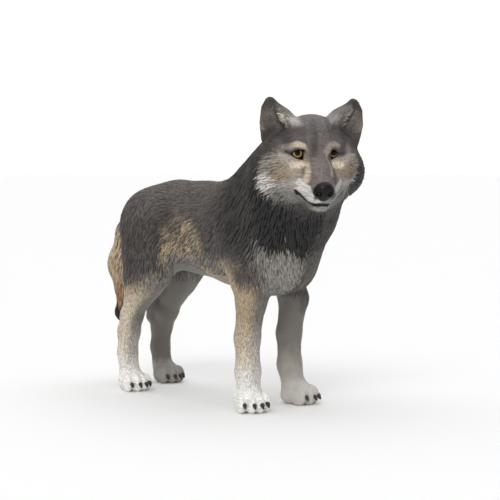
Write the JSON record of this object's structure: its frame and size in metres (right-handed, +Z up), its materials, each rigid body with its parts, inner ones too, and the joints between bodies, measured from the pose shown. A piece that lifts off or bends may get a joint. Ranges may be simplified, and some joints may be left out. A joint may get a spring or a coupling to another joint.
{
  "type": "toy wolf figurine",
  "caption": "Timber wolf toy figurine standing on four paws with its head turned to its right, solid moulded plastic with a sculpted, hand-painted coat, for display or play.",
  "frame": {"origin": "under the middle of the figurine's box, on the plane of its four flat soles", "axes": "+Z up, the wolf stands facing -Y with its tail at +Y, its own left side is +X"},
  "size_m": [0.0238, 0.0798, 0.0637],
  "materials": {
    "coat_grey": "hand-painted, satin",
    "coat_charcoal": "hand-painted, satin",
    "coat_tan": "hand-painted, satin",
    "coat_white": "hand-painted, satin",
    "coat_black": "hand-painted, satin",
    "claw_black": "painted, semi-gloss",
    "nose_black": "painted, semi-gloss",
    "eye_amber": "painted, glossy"
  },
  "bodies": {
    "root": {"ear_left": "coat_grey", "ear_right": "coat_grey", "eye_left": "eye_amber", "eye_right": "eye_amber", "foreleg_left_claw_1": "claw_black", "foreleg_left_claw_2": "claw_black", "foreleg_left_claw_3": "claw_black", "foreleg_left_claw_4": "claw_black", "foreleg_left_lower": "coat_tan", "foreleg_left_paw": "coat_white", "foreleg_left_upper": "coat_tan", "foreleg_right_claw_1": "claw_black", "foreleg_right_claw_2": "claw_black", "foreleg_right_claw_3": "claw_black", "foreleg_right_claw_4": "claw_black", "foreleg_right_lower": "coat_tan", "foreleg_right_paw": "coat_white", "foreleg_right_upper": "coat_tan", "head": "coat_grey", "hindleg_left_claw_1": "claw_black", "hindleg_left_claw_2": "claw_black", "hindleg_left_claw_3": "claw_black", "hindleg_left_claw_4": "claw_black", "hindleg_left_lower": "coat_tan", "hindleg_left_paw": "coat_white", "hindleg_left_upper": "coat_tan", "hindleg_right_claw_1": "claw_black", "hindleg_right_claw_2": "claw_black", "hindleg_right_claw_3": "claw_black", "hindleg_right_claw_4": "claw_black", "hindleg_right_lower": "coat_tan", "hindleg_right_paw": "coat_white", "hindleg_right_upper": "coat_tan", "lower_jaw": "coat_white", "neck": "coat_charcoal", "nose": "nose_black", "tail": "coat_tan", "tail_tip": "coat_black", "trunk": "coat_grey"}
  },
  "joints": []
}
